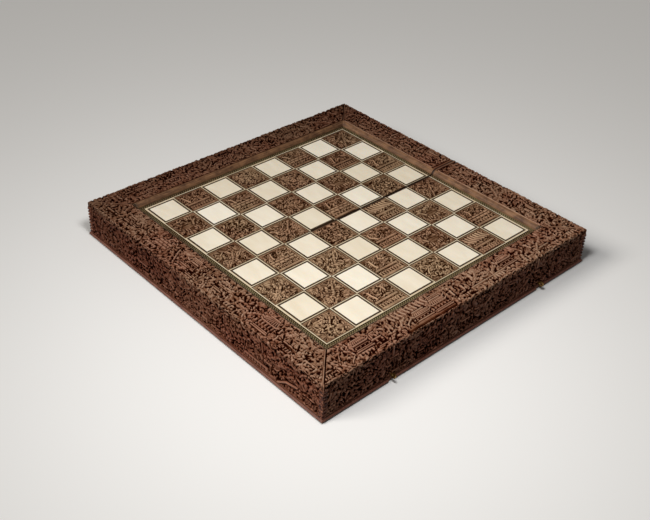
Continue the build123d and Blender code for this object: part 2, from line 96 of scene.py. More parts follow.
class Carving:
    """A height map in millimetres: 0 is the uncut face of the wood and GROUND the deepest cut.

    Forms lie over each other like the layers of real relief, each with a cut line round it.
    The first coordinate, u, runs from a scene's top to its foot, and v along it.
    """

    def __init__(self, width, length, step, seed):
        self.nu = int(round(width / step)) + 1
        self.nv = int(round(length / step)) + 1
        self.du = width / (self.nu - 1)
        self.dv = length / (self.nv - 1)
        self.high = np.full((self.nu, self.nv), GROUND)
        self.random = np.random.default_rng(seed)
        self.draw = self.random.uniform
        self.phase = self.draw(0, 6.28, 6)

    def window(self, u0, u1, v0, v1):
        """The map between two corners, maybe empty, with its coordinates."""
        i0, j0 = max(0, int(u0 / self.du)), max(0, int(v0 / self.dv))
        i1 = max(i0, min(self.nu, int(u1 / self.du) + 2))
        j1 = max(j0, min(self.nv, int(v1 / self.dv) + 2))
        u = (np.arange(i0, i1) * self.du)[:, None]
        v = (np.arange(j0, j1) * self.dv)[None, :]
        return self.high[i0:i1, j0:j1], u, v

    def places(self):
        """The coordinates of every point."""
        flat = np.zeros((self.nu, self.nv))
        return np.arange(self.nu)[:, None] * self.du + flat, np.arange(self.nv) * self.dv + flat

    def sample(self, u, v):
        """Heights at places in mm, between the map's points."""
        x = np.clip(u / self.du, 0, self.nu - 1.001)
        y = np.clip(v / self.dv, 0, self.nv - 1.001)
        i, j = x.astype(int), y.astype(int)
        a, b, high = x - i, y - j, self.high
        return (
            high[i, j] * (1 - a) * (1 - b) + high[i + 1, j] * a * (1 - b)
            + high[i, j + 1] * (1 - a) * b + high[i + 1, j + 1] * a * b
        )

    def lay(self, part, mask, moat, top, cut=0.9):
        """Lays a form over what is there, with a cut line round it."""
        part[moat] = np.minimum(part[moat], top[moat] - cut)
        part[mask] = top[mask]

    def ellipse(self, u, v, angle, long, short):
        """A window and its coordinates in an ellipse: 1 is its outline."""
        reach = long + 1
        part, uu, vv = self.window(u - reach, u + reach, v - reach, v + reach)
        c, s = cos(angle), sin(angle)
        across, along = uu - u, vv - v
        return part, (across * c + along * s) / long, (-across * s + along * c) / short

    def inside(self, u0, u1, v0, v1, moat):
        """A window, its u and how far its points lie inside a box."""
        part, u, v = self.window(u0 - moat, u1 + moat, v0 - moat, v1 + moat)
        return part, u, np.minimum(np.minimum(u - u0, u1 - u), np.minimum(v - v0, v1 - v))

    def leaf(self, u, v, angle, length, width, top=-0.2, cut=0.5):
        """A pointed leaf with a midrib."""
        part, p, q = self.ellipse(u, v, angle, length / 2, width / 2)
        room = np.clip(1 - p * p, 0, 1) ** 0.8
        mask = (np.abs(p) < 1) & (np.abs(q) < room)
        moat = (np.abs(p) < 1 + 1.2 / length) & (np.abs(q) < room + 1.3 / width)
        rib = 0.35 * np.exp(-((q / 0.22) ** 2))
        self.lay(part, mask, moat, top - 0.5 * q * q - 0.3 * p * p - rib, cut)

    def knob(self, u, v, radius, top):
        """A round boss or berry."""
        part, p, q = self.ellipse(u, v, 0, radius, radius)
        r2 = p * p + q * q
        self.lay(part, r2 < 1, r2 < (1 + 0.7 / radius) ** 2, top - 0.9 * r2)

    def hollow(self, u, v, angle, long, short, depth=GROUND, bend=0):
        """A deep gouged hole, pointed at its ends and bent if asked."""
        part, p, q = self.ellipse(u, v, angle, long, short)
        room = np.clip(1 - p * p, 0, 1) ** 0.6
        mask = (np.abs(p) < 1) & (np.abs(q - bend * room) < room)
        part[mask] = np.minimum(part[mask], depth)

    def stroke(self, points, width, top=-0.2, moat=0.7, crown=0.6):
        """A raised strand along a line of points."""
        points = np.asarray(points, float)
        pad = width / 2 + moat
        low, high = points.min(0) - pad, points.max(0) + pad
        part, u, v = self.window(low[0], high[0], low[1], high[1])
        near = np.full(part.shape, 1e9)
        for (u0, v0), (u1, v1) in zip(points, points[1:]):
            du, dv = u1 - u0, v1 - v0
            span = du * du + dv * dv + 1e-9
            t = np.clip(((u - u0) * du + (v - v0) * dv) / span, 0, 1)
            near = np.minimum(near, (u - u0 - t * du) ** 2 + (v - v0 - t * dv) ** 2)
        q2 = near / (width / 2) ** 2
        self.lay(part, q2 < 1, near < pad * pad, top - crown * q2)

    def arc(self, u, v, radius, start, turn, width, top, grow):
        """A strand that winds round a centre, and outwards by grow."""
        share = np.linspace(0, 1, int(turn * 3) + 1)
        angles, reach = start + turn * share, radius + grow * share
        points = np.stack([u + reach * np.cos(angles), v + reach * np.sin(angles)], -1)
        self.stroke(points, width, top)

    def block(self, u0, u1, v0, v1, top=-0.3, moat=0.6):
        """A flat-topped block with softened edges."""
        part, _, inside = self.inside(u0, u1, v0, v1, moat)
        self.lay(part, inside > 0, inside > -moat, top - 0.5 * np.clip(1 - inside, 0, 1) ** 2)

    def slope(self, u0, u1, v0, v1, top, bottom):
        """A plain face that falls from u0 to u1, with a cut line round it."""
        part, u, inside = self.inside(u0, u1, v0, v1, 0.7)
        fall = top + (bottom - top) * np.clip((u - u0) / (u1 - u0), 0, 1) + 0 * inside
        fall = fall - 0.35 * np.exp(-(((u - (u0 + u1) / 2) / 0.4) ** 2))
        self.lay(part, inside > 0, inside > -0.7, fall, 0.5)

    def flow(self, u, v):
        """The wandering direction that foliage and strands follow."""
        a, b, c, d, e, f = self.phase
        return (
            1.2 * sin(u * 0.11 + a + 1.5 * sin(v * 0.045 + b))
            + 1.1 * cos(v * 0.09 + c + 1.2 * sin(u * 0.07 + d))
            + 0.7 * sin((u + v) * 0.17 + e) + f
        )

    def scatter(self, u0, u1, v0, v1, spacing):
        """Jittered places over a region, shuffled."""
        rows = int(round((u1 - u0) / spacing))
        columns = int(round((v1 - v0) / spacing))
        places = [
            (u0 + (i + self.draw(-0.1, 1.1)) * (u1 - u0) / rows,
             v0 + (j + self.draw(-0.1, 1.1)) * (v1 - v0) / columns)
            for i in range(rows) for j in range(columns)
        ]
        self.random.shuffle(places)
        return places


# Motifs


def bloom(cut, u, v, radius, petals, turn=0):
    """An open flower: petals round a boss."""
    for step in range(petals):
        angle = turn + step * 2 * pi / petals
        cut.leaf(*away((u, v), angle, radius * 0.58), angle, radius, radius * 0.8, -0.05)
    cut.knob(u, v, radius * 0.27, 0)


def spray(cut, u, v, angle, size, leaves):
    """A fan of leaves from one point."""
    draw = cut.draw
    spread = draw(1.4, 2.6)
    for step in range(leaves):
        lean = angle + spread * (step / (leaves - 1) - 0.5)
        cut.leaf(*away((u, v), lean, size * draw(0.42, 0.55)), lean + draw(-0.12, 0.12),
                  size * draw(0.8, 1), size * draw(0.28, 0.36), draw(-0.6, 0))


def foliage(cut, u0, u1, v0, v1, size=8.6):
    """Covers a region with layered leaves, curls, flowers and strands."""
    draw, normal = cut.draw, cut.random.normal
    for u, v in cut.scatter(u0, u1, v0, v1, size * 0.42):
        cut.leaf(u, v, cut.flow(u, v) + normal(0, 0.4), size * draw(0.75, 1.3),
                  size * draw(0.32, 0.5), draw(-1, -0.1), 0.4)
    for u, v in cut.scatter(u0, u1, v0, v1, size * 1.35):
        kind = cut.random.integers(0, 4)
        if kind == 0:
            cut.arc(u, v, draw(0.8, 1.4), draw(0, 6), 5.2, 1.5, -0.1, draw(1.2, 2.2))
        elif kind == 1:
            bloom(cut, u, v, draw(2.6, 3.6), 5, draw(0, 2))
        elif kind == 2:
            lean, points = cut.flow(u, v), [(u, v)]
            for _ in range(4):
                lean += draw(-0.5, 0.5)
                points.append(away(points[-1], lean, 3.2))
            cut.stroke(points, draw(1.4, 2.1), -0.05)


def holes(cut, u0, u1, v0, v1, spacing=5.6, scale=1):
    """Deep gouged holes over a region, along the flow."""
    draw, normal = cut.draw, cut.random.normal
    for u, v in cut.scatter(u0, u1, v0, v1, spacing):
        if draw() < 0.92:
            cut.hollow(u, v, cut.flow(u, v) + normal(0, 0.5), scale * draw(1.3, 3.2),
                        scale * draw(0.9, 1.5), draw(GROUND, GROUND + 0.3), draw(-1, 1))


def bough(cut, start, end, width):
    """A knotted limb between two places."""
    (u0, v0), (u1, v1), draw = start, end, cut.draw
    points = [start]
    for step in (0.17, 0.33, 0.5, 0.67, 0.83):
        points.append((u0 + (u1 - u0) * step + draw(-1.7, 1.7),
                       v0 + (v1 - v0) * step + draw(-1.7, 1.7)))
    points.append(end)
    cut.stroke(points, width * 0.82, -0.35, 0.5, 0.7)
    for u, v in points[1:]:
        cut.hollow(u + draw(-1, 1), v + draw(-1, 1), draw(0, 3), 1.3, 0.6, -1.9, draw(-1, 1))
        cut.leaf(u + draw(-2, 2), v + draw(-2, 2), cut.flow(u, v), draw(4, 6),
                  draw(1.8, 2.6), -0.1)


def parapet(cut, u, v0, v1, width=3.4):
    """A plain rail along a scene."""
    cut.block(u - width / 2, u + width / 2, v0, v1, -0.3, 0.7)
    cut.hollow(u, (v0 + v1) / 2, pi / 2, (v1 - v0) / 2, 0.35, -1.2)


def tree(cut, u, v, size, lean, width=2.2):
    """A bent trunk with sprays of leaves, rising towards smaller u."""
    draw, angle, points = cut.draw, pi + lean, [(u, v)]
    for _ in range(6):
        angle += draw(-0.55, 0.55) + (pi + lean - angle) * 0.3
        points.append(away(points[-1], angle, size / 6))
    for fork in points[2:]:
        for side in (-1, 1):
            turn = pi + side * draw(0.6, 1.5)
            tip = away(fork, turn, 3.5)
            spray(cut, *tip, turn, size * 0.25, 5)
            cut.hollow(*away(fork, turn - 0.7, 2.6), turn, 1.8, 1)
            cut.stroke([fork, tip], width * 0.6, -0.15)
    cut.stroke(points, width, 0)
    spray(cut, *points[-1], pi, size * 0.3, 7)


def ribs(cut, u, v0, v1, length, count, bend, width):
    """A row of short curved strands, as on a tiled roof."""
    for v in np.linspace(v0, v1, count):
        line = [(u - length, v), (u - length / 2, v + bend * 0.2), (u, v + bend)]
        cut.stroke(line, width, -0.1, 0.8)


def fence(cut, places, v0, v1, pitch=3.6):
    """Rails along the foot of a scene, with posts between the outer two."""
    for u in places:
        cut.stroke([(u, v0), (u, v1)], 1.7, -0.15, 0.9)
    for v in np.arange(v0 + 1.2, v1, pitch):
        cut.stroke([(places[-2], v), (places[-1], v)], 1.3, -0.3, 0.7)


def bricks(cut, u0, u1, v0, v1, rows, pitch):
    """Courses of blocks."""
    high = (u1 - u0) / rows
    for row in range(rows):
        for at in np.arange(v0 - (row % 2) * pitch / 2, v1, pitch):
            a, b = max(at, v0), min(at + pitch - 0.9, v1)
            if b - a > 1:
                cut.block(u0 + row * high, u0 + (row + 1) * high - 0.9, a, b, -0.25)


def arcade(cut, u, v0, v1, pitch=4.6):
    """A plain low wall pierced by a row of arched openings."""
    cut.block(u - 6.5, u, v0, v1, -0.3, 0.9)
    for at in np.arange(v0 + pitch * 0.7, v1 - pitch * 0.5, pitch):
        cut.hollow(u - 2.6, at, 0, 2, 1.2)


def pavilion(cut, u, v, half, height):
    """Steps, posts and a rail under a ribbed roof; v is its middle, u its foot."""
    def level(at, wide, *look):
        cut.stroke([(at, v - wide), (at, v + wide)], *look)

    eave, ridge = u - height * 0.56, u - height * 0.94
    cut.block(eave, u, v - half, v + half, -1.9, 0.9)
    for step in range(2):
        level(u - step * 2.4, half * (1.1 - 0.12 * step), 1.6, -0.3)
    for t in np.linspace(-1, 1, int(half / 2.4)):
        cut.stroke([(u - 5, v + t * half * 0.85), (eave, v + t * half * 0.85)], 1.5, -0.15, 0.5)
    level(u - 7.6, half * 0.85, 1.2, -0.5)
    cut.block(ridge, eave, v - half * 0.7, v + half * 0.7, -1.6, 0.9)
    for t in np.linspace(-1, 1, int(2 * half / 2.7)):
        cut.stroke([(ridge, v + t * half * 0.6), (eave, v + t * half * 1.02)], 1.5, -0.2, 0.5)
    level(ridge, half * 0.68, 1.8, 0)
    line = [(eave - 2, v - half * 1.22), (eave + 0.2, v - half * 0.9),
            (eave + 0.2, v + half * 0.9), (eave - 2, v + half * 1.22)]
    cut.stroke(line, 1.7, 0)


def deer(cut, u, v, size, facing):
    """A small four-legged animal among the leaves."""
    def at(du, dv):
        return (u + du * size, v + dv * size * facing)

    for foot in (-0.42, -0.25, 0.24, 0.42):
        cut.stroke([at(0, foot * 0.8), at(0.42, foot + 0.05)], size * 0.1, -0.4, 0.9)
    cut.leaf(*at(-0.02, 0), pi / 2, size * 1.1, size * 0.44, -0.8, 1.3)
    cut.stroke([at(-0.05, 0.36), at(-0.38, 0.52)], size * 0.17, -0.5, 0.9)
    cut.leaf(*at(-0.44, 0.62), pi / 2 + 0.5 * facing, size * 0.34, size * 0.17, -0.3)
    for lean in (0.42, 0.58):
        cut.stroke([at(-0.48, 0.5), at(-0.72, lean)], size * 0.07, -0.2)


MOTIFS = ("tree", "pavilion", "foliage", "bricks", "tree", "fence", "foliage", "curls", "arcade")
LONG_MOTIFS = {"bricks": (12, 20), "fence": (14, 22), "arcade": (18, 26)}


def carve_scene(cut, u0, u1, v0, v1):
    """Fills a stretch of a border with scenes that stand towards u1."""
    draw, depth = cut.draw, u1 - u0
    v = v0 + draw(3, 9)
    turn = cut.random.integers(0, len(MOTIFS))
    while v < v1 - 8:
        kind = MOTIFS[turn % len(MOTIFS)]
        turn += 1 + cut.random.integers(0, 2)
        foot = u1 - draw(1.5, 4)
        if kind == "tree":
            tree(cut, foot, v + 5, depth * draw(0.65, 0.85), draw(-0.6, 0.6))
            v += draw(14, 20)
        elif kind == "pavilion":
            half = draw(8, 11)
            pavilion(cut, foot, v + half, half, min(depth - 4, draw(22, 29)))
            v += 2 * half + draw(3, 8)
        elif kind == "curls":
            for _ in range(3):
                cut.arc(u0 + draw(0.2, 0.8) * depth, v + draw(2, 12), 1.2, draw(0, 6), 6.5, 1.7,
                        0, 3.2)
            v += draw(12, 16)
        elif kind == "foliage":
            v += draw(10, 16)
        else:
            long = draw(*LONG_MOTIFS[kind])
            if kind == "bricks":
                bricks(cut, foot - draw(8, 12), foot, v, v + long, 3, 5.4)
            elif kind == "fence":
                fence(cut, [foot - 9, foot - 5, foot - 0.5], v, v + long)
            else:
                arcade(cut, foot, v, v + long)
            v += long + draw(2, 6)


def blur(values, radius):
    """A soft local average: three box passes each way."""
    size = 2 * radius + 1
    for _ in range(2):
        for _ in range(3):
            rows = len(values)
            padded = np.pad(values, ((radius, radius), (0, 0)), "edge")
            total = np.cumsum(padded, axis=0)
            values = (total[size - 1:] - total[:rows] + padded[:rows]) / size
        values = values.T
    return values


def relief_of(high):
    """How high each point stands: 0 in the deepest cuts, 1 on the wood's face."""
    return np.clip(1 - high / GROUND, -0.2, 1.1)


def cavity_of(high, step):
    """How far each point stands above or below its surroundings."""
    return high - blur(high, int(round(1.6 / step)))


# Objects


def add_object(name, data):
    """Puts a mesh, a lamp or a camera into the scene."""
    thing = bpy.data.objects.new(name, data)
    bpy.context.scene.collection.objects.link(thing)
    return thing


def numbers(grid):
    """The numbers of a grid's points."""
    return np.arange(grid.size).reshape(grid.shape)


def grid_quads(index):
    """The quads of a grid of point numbers."""
    faces = [index[:-1, :-1], index[1:, :-1], index[1:, 1:], index[:-1, 1:]]
    return np.stack(faces, -1).reshape(-1, 4)


def build_mesh(name, patches, material):
    """An object from patches: points in mm, quads, relief and cavity."""
    points, quads, relief, cavity = [], [], [], []
    base = 0
    for patch in patches:
        points.append(patch[0].reshape(-1, 3))
        quads.append(patch[1] + base)
        relief.append(patch[2].ravel())
        cavity.append(patch[3].ravel())
        base += len(points[-1])
    mesh = bpy.data.meshes.new(name)
    mesh.from_pydata(np.concatenate(points) * MM, [], np.concatenate(quads))
    mesh.validate()
    for label, values in (("relief", relief), ("cavity", cavity)):
        attribute = mesh.attributes.new(label, "FLOAT", "POINT")
        attribute.data.foreach_set("value", np.concatenate(values).astype(np.float32))
    mesh.shade_smooth()
    mesh.materials.append(material)
    return add_object(name, mesh)


def add_solid(work, rings):
    """Closes rings of points, from one end to the other, into a solid."""
    rings = [[work.verts.new(Vector(point) * MM) for point in ring] for ring in rings]
    work.faces.new(rings[0][::-1])
    work.faces.new(rings[-1])
    for low, high in zip(rings, rings[1:]):
        for k in range(len(low)):
            work.faces.new((low[k - 1], low[k], high[k], high[k - 1]))


def build_solids(name, work, material):
    """An object from the solids in a bmesh."""
    bmesh.ops.recalc_face_normals(work, faces=work.faces)
    mesh = bpy.data.meshes.new(name)
    work.to_mesh(mesh)
    work.free()
    mesh.materials.append(material)
    return add_object(name, mesh)


# Materials

WHITE = (255, 255, 255)
BLACK = (0, 0, 0)
STEPS = {"*": "MULTIPLY", "+": "ADD", "-": "SUBTRACT", "at least": "MAXIMUM", "at most": "MINIMUM"}


def srgb(red, green, blue):
    """An 8-bit screen colour as linear values."""
    return tuple(
        (c / 255 / 12.92) if c / 255 <= 0.04045 else ((c / 255 + 0.055) / 1.055) ** 2.4
        for c in (red, green, blue)
    )


class Nodes:
    """Short ways to build one material's node tree."""

    def __init__(self, name):
        self.material = bpy.data.materials.new(name)
        self.material.use_nodes = True
        self.tree = self.material.node_tree
        self.shader = self.tree.nodes["Principled BSDF"]

    def add(self, kind, **settings):
        node = self.tree.nodes.new("ShaderNode" + kind)
        for key, value in settings.items():
            setattr(node, key, value)
        return node

    def fill(self, node, *pairs):
        """Sets inputs to numbers or linear colours, or links sockets to them."""
        for key, value in zip(pairs[::2], pairs[1::2]):
            if isinstance(value, (int, float)):
                node.inputs[key].default_value = value
            elif isinstance(value, tuple):
                node.inputs[key].default_value = (*value, 1)
            else:
                self.tree.links.new(value, node.inputs[key])

    def value(self, source, *steps):
        """Runs a socket through maths steps, each a sign and an amount."""
        for sign, amount in zip(steps[::2], steps[1::2]):
            node = self.add("Math", operation=STEPS[sign])
            self.fill(node, 0, source, 1, amount)
            source = node.outputs[0]
        return source

    def share(self, source, *steps):
        """The same, kept between 0 and 1."""
        return self.value(source, *steps, "at least", 0, "at most", 1)

    def place(self, scale=(1, 1, 1), turn=(0, 0, 0)):
        mapping = self.add("Mapping")
        mapping.inputs["Scale"].default_value = scale
        mapping.inputs["Rotation"].default_value = turn
        self.fill(mapping, "Vector", self.add("TexCoord").outputs["Object"])
        return mapping.outputs["Vector"]

    def xyz(self):
        """The object's own coordinates, one by one."""
        node = self.add("SeparateXYZ")
        self.fill(node, 0, self.place())
        return node.outputs

    def noise(self, scale, detail, rough, distortion=0, place=None):
        node = self.add("TexNoise")
        self.fill(node, "Scale", scale, "Detail", detail, "Roughness", rough,
                  "Distortion", distortion, "Vector", place or self.place())
        return node.outputs["Fac"]

    def ramp(self, source, *stops):
        """A run of 8-bit screen colours."""
        node = self.add("ValToRGB")
        bar = node.color_ramp
        while len(bar.elements) < len(stops):
            bar.elements.new(0.5)
        for element, (at, colour) in zip(bar.elements, stops):
            element.position = at
            element.color = (*srgb(*colour), 1)
        self.fill(node, "Fac", source)
        return node.outputs["Color"]

    def mix(self, factor, a, b, blend="MIX"):
        node = self.add("Mix", data_type="RGBA", blend_type=blend)
        # Sockets 6 and 7 take the colours, and socket 2 gives the result
        self.fill(node, 0, factor, 6, a, 7, b)
        return node.outputs[2]

    def bump(self, height, strength, distance):
        node = self.add("Bump")
        self.fill(node, "Strength", strength, "Distance", distance, "Height", height)
        self.fill(self.shader, "Normal", node.outputs["Normal"])

    def seam(self, colour):
        """Painted shadow along the fold, mostly on the right tray's edge, as cast by the left tray's
        edge standing higher there; darker towards the back.
        """
        x, y, _ = self.xyz()
        near = self.ramp(self.value(x, "*", 100, "+", 0.1), (0.02, BLACK), (0.05, WHITE),
                         (0.29, WHITE), (0.36, (169.6,) * 3), (0.52, BLACK))
        back = self.ramp(self.value(y, "*", 4, "+", 0.5), (0.1, BLACK), (0.5, (224.6,) * 3),
                         (0.85, WHITE))
        return self.mix(self.value(near, "*", back, "*", 0.88), colour, srgb(26, 9, 3))

    def finish(self, colour, roughness, gloss=0.5, metallic=0):
        self.fill(self.shader, "Base Color", colour, "Roughness", roughness,
                  "Specular IOR Level", gloss, "Metallic", metallic)
        return self.material


def carved_wood(name, *tones, polished=False):
    """Carved wood, nearly black in its cuts and pale on its tops: partly dirt and rubbing, partly
    painted shade in the cuts and painted light on the tops.
    """
    n = Nodes(name)
    relief = n.add("Attribute", attribute_name="relief").outputs["Fac"]
    cavity = n.add("Attribute", attribute_name="cavity").outputs["Fac"]
    x, y, z = n.xyz()
    spots, drift = n.noise(260, 4, 0.65), n.noise(16, 2, 0.5)
    shade = n.value(relief, "*", 0.8, "+", n.value(cavity, "*", 0.14))
    for cloud, amount in ((spots, 0.3), (n.noise(75, 2, 0.5), 0.5), (drift, 0.3)):
        shade = n.value(cloud, "-", 0.5, "*", amount, "+", shade)
    colour = n.ramp(shade, *zip((0.16, 0.28, 0.45, 0.94), tones))
    tint = n.ramp(drift, (0.38, (255, 234, 222)), (0.62, (246, 248, 234)))
    colour = n.mix(0.7, colour, tint, "MULTIPLY")
    if polished:
        # Painted shade: below the rails the wood is darker and redder, most of all towards the left
        level = n.value(z, "*", 1 / (RAIL_TOP * MM))
        near = n.ramp(level, (0.78, (255, 228, 222)), (0.98, WHITE))
        far = n.ramp(level, (0.78, (216, 180, 170)), (0.98, WHITE))
        across = n.share(x, "*", -3, "+", 0.5)
        colour = n.mix(1, colour, n.mix(across, near, far), "MULTIPLY")
        # Painted shade makes the top of the left rail the dullest
        left_top_shade = n.ramp(n.value(x, "*", 1 / 0.45, "+", 0.5), (0, (208, 200, 192)), (0.12, WHITE))
        colour = n.mix(n.share(level, "-", 0.88, "*", 12), colour, left_top_shade, "MULTIPLY")
    # Painted shade: the left rails and the back ones are duller, where the light falls off
    back_left_shade = n.value(x, "-", n.value(y, "*", 0.5), "+", 0.34, "*", 1 / 0.68)
    back_left_shade = n.ramp(back_left_shade, (0, (200, 194, 190)), (0.35, (224, 219, 215)), (0.7, WHITE))
    # Nodes.seam adds the painted shadow along the fold
    colour = n.seam(n.mix(1, colour, back_left_shade, "MULTIPLY"))
    # Small pale spots on the highest wood: partly rubbed wear, partly painted glints
    wear_and_glint = n.value(n.noise(400, 2, 0.5), "-", 0.62, "*", 12, "at least", 0, "at most", 0.7)
    wear_and_glint = n.value(wear_and_glint, "*", n.share(relief, "-", 0.72, "*", 4))
    colour = n.mix(wear_and_glint, colour, n.mix(1, srgb(*tones[-1]), back_left_shade, "MULTIPLY"))
    n.bump(n.noise(800, 4, 0.6), 0.5, 0.0004)
    gloss = n.value(relief, "-", 0.25, "*", 0.3, "at least", 0)
    return n.finish(colour, n.value(spots, "*", 0.3, "+", 0.42), gloss)


def plain_wood(name, dark, light, turn=0):
    """Smooth wood with a streaked grain."""
    n = Nodes(name)
    grain = n.noise(55, 5, 0.6, 0.4, n.place((1, 9, 9), (0, 0, turn)))
    pores = n.noise(160, 3, 0.6, 0, n.place((1, 22, 22), (0, 0, turn)))
    tone = n.value(grain, "*", 0.75, "+", n.value(pores, "*", 0.25))
    n.bump(pores, 0.25, 0.0002)
    # Nodes.seam adds the painted shadow along the fold
    colour = n.seam(n.ramp(tone, (0.32, dark), (0.68, light)))
    return n.finish(colour, n.value(grain, "*", 0.2, "+", 0.35), 0.22)


def slip_wood(name, dark, light, pit, worn):
    """Smooth wood along the far rails, dirty and pitted along the near ones."""
    n = Nodes(name)
    x, y, _ = n.xyz()
    lines = n.noise(55, 2, 0.5, 0, n.place((1, 1, 24)))
    streaks = n.value(lines, "-", 0.5, "*", 0.9, "+", n.noise(60, 4, 0.6, 0.4))
    spots = n.noise(330, 3, 0.6)
    near = n.value(y, "*", -1, "at least", x)
    near = n.share(near, "-", BEAD_OUT * MM - 0.001, "*", 1000)
    plain = n.ramp(streaks, (0.30, dark), (0.70, light))
    pitted = n.ramp(spots, (0.4, pit), (0.6, worn))
    n.bump(spots, 0.3, 0.0003)
    # Nodes.seam adds the painted shadow along the fold
    return n.finish(n.seam(n.mix(near, plain, pitted)), 0.5, 0.2)


def post_wood(name, dark, mid, light):
    """Dark polished wood of the notched posts, bright in random spots."""
    n = Nodes(name)
    spots = n.noise(300, 3, 0.6, 0, n.place((1, 1, 1.6)))
    n.bump(spots, 0.4, 0.0005)
    colour = n.ramp(spots, (0.38, dark), (0.5, mid), (0.66, light))
    return n.finish(colour, n.value(spots, "*", 0.3, "+", 0.35), 0.12)


def bone(name, dark, light):
    """Polished bone, each plate a slightly different cream."""
    n = Nodes(name)
    cell = n.add("VectorMath", operation="FLOOR")
    n.fill(cell, 0, n.place((1 / (PITCH * MM), 1 / (PITCH * MM), 0)))
    tone = n.add("TexWhiteNoise")
    n.fill(tone, "Vector", cell.outputs[0])
    cloud = n.noise(30, 3, 0.5, 0.6, n.place((1, 3, 1), (0, 0, 0.5)))
    mix = n.value(cloud, "*", 0.5, "+", n.value(tone.outputs["Value"], "*", 0.4))
    n.fill(n.shader, "Subsurface Weight", 0.12)
    n.shader.inputs["Subsurface Radius"].default_value = (0.004, 0.003, 0.002)
    n.bump(n.noise(240, 3, 0.5, 0, n.place((1, 12, 1))), 0.08, 0.0002)
    # Nodes.seam adds the painted shadow along the fold
    colour = n.seam(n.ramp(mix, (0.15, dark), (0.75, light)))
    return n.finish(colour, n.value(cloud, "*", 0.15, "+", 0.26))


def brass(name):
    """Old brass, dull and browned in places."""
    n = Nodes(name)
    cloud = n.noise(180, 4, 0.6)
    colour = n.ramp(cloud, (0.35, (120, 84, 40)), (0.6, (214, 178, 108)))
    return n.finish(colour, n.value(cloud, "*", 0.35, "+", 0.2), metallic=1)


CARVED = carved_wood("carved wood", (26, 3, 0), (74, 38, 19), (123, 85, 65), (172, 139, 119),
                     polished=True)
PANEL = carved_wood("carved panels", (30, 9, 0), (64, 38, 16), (96, 67, 45), (196, 163, 134))
BEADED = carved_wood("beaded strip", (26, 22, 12), (56, 48, 30), (98, 84, 58), (150, 134, 100))
CARCASS = plain_wood("carcass wood", (74, 44, 28), (116, 76, 50))
BONE = bone("bone", (232, 218, 192), (253, 244, 226))
LINE_BONE = bone("line bone", (206, 186, 152), (238, 222, 194))
BRASS = brass("old brass")


def break_edges(thing, width):
    """Takes an object's sharp edges off."""
    edge = thing.modifiers.new("broken edges", "BEVEL")
    edge.width = width * MM
    edge.segments = 2
    return edge


def dress_node(node, material, bevel=0):
    """Gives a CAD node its finish and, if asked, broken edges."""
    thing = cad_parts[node]
    thing.data.materials.clear()
    thing.data.materials.append(material)
    if bevel > 0:
        edge = break_edges(thing, bevel)
        edge.limit_method = "ANGLE"
        edge.angle_limit = radians(35)


FINISHES = {
    "wall_fold": CARCASS,
    "ground_board": CARCASS,
    "inner_slip": slip_wood("slip wood", (78, 52, 36), (136, 99, 69), (36, 20, 10), (112, 86, 62)),
    "base_moulding": plain_wood("moulding wood", (84, 44, 33), (146, 98, 80)),
    "corner_posts": post_wood("post wood", (36, 6, 1), (102, 53, 37), (178, 122, 94)),
    "ebony_lines": plain_wood("ebony", (52, 38, 24), (78, 60, 42)),
    "edge_line": LINE_BONE,
    "tray_floor": plain_wood("floor veneer", (116, 66, 38), (150, 92, 56), pi / 2),
    "light_points": plain_wood("light veneer", (206, 184, 140), (228, 210, 170), pi / 2),
    "dark_points": plain_wood("dark veneer", (44, 28, 20), (72, 48, 34), pi / 2),
}
METAL = ("hinge_left_leaf", "hinge_right_leaf", "hinge_pin", "eye", "hook", "hook_pivot")
for side, _ in SIDES:
    dress_node(f"{side}_ivory_squares", BONE, 0.15)
    for part, material in FINISHES.items():
        dress_node(f"{side}_{part}", material)
for end in ("front", "back"):
    for part in METAL:
        dress_node(f"{end}_{part}", BRASS, 0.12)


# Runs along the sides: a long outer one and two short ones up to the seam


def along_run(way, out, reach, step):
    """Places along a run, for rows at distances outwards up to reach."""
    if way == "outer":
        return np.linspace(-1, 1, int(2 * reach / step) + 1) * out
    return SEAM + np.linspace(0, 1, int((reach - SEAM) / step) + 1) * (out - SEAM)


def run_points(way, sign, outward, along, up):
    """A run's points in the frame; sign is +1 right or -1 left."""
    if way == "outer":
        return np.stack([sign * outward, along, up], -1)
    return np.stack([sign * along, -outward if way == "front" else outward, up], -1)


# The carved border: rail and wall of one side, in one mesh with its plain inner faces


def border_section():
    """A section's places outwards and up, normals and carved lengths; and how many are carved."""
    section, s = [], 0

    def quarter_round(centre, radius, start, pieces):
        nonlocal s
        for k in range(pieces):
            a = start - k / pieces * pi / 2
            section.append((centre + radius * cos(a), RAIL_TOP - radius + radius * sin(a),
                            cos(a), sin(a), s))
            s += radius * pi / 2 / pieces

    crown_in, crown_out = RAIL_IN + IN_ROUND, OUTER - ROUND
    quarter_round(crown_in, IN_ROUND, pi, 4)
    flat = crown_out - crown_in
    steps = int(flat / BORDER_STEP)
    for k in range(steps):
        section.append((crown_in + flat * k / steps, RAIL_TOP, 0, 1, s))
        s += flat / steps
    pieces = max(5, int(ROUND * pi / 2 / BORDER_STEP))
    quarter_round(crown_out, ROUND, pi / 2, pieces)
    head = RAIL_TOP - ROUND
    drop = head - MOULDING_TOP
    steps = int(drop / BORDER_STEP)
    for k in range(steps + 1):
        section.append((OUTER, head - drop * k / steps, 1, 0, s + drop * k / steps))
    carved = len(section)
    for x, z in ((OUTER, RIM_Z), (WALL_IN, RIM_Z), (WALL_IN, GROUND_Z), (LEDGE, GROUND_Z),
                 (LEDGE, INLAY_Z), (RAIL_IN, INLAY_Z)):
        section.append((x, z, 0, 0, -1))
    return np.array(section).T[:, :, None], carved


def crown_u(across):
    """The carving's u at a distance across the rail's top from its inner edge."""
    return across - IN_ROUND + IN_ROUND * pi / 2


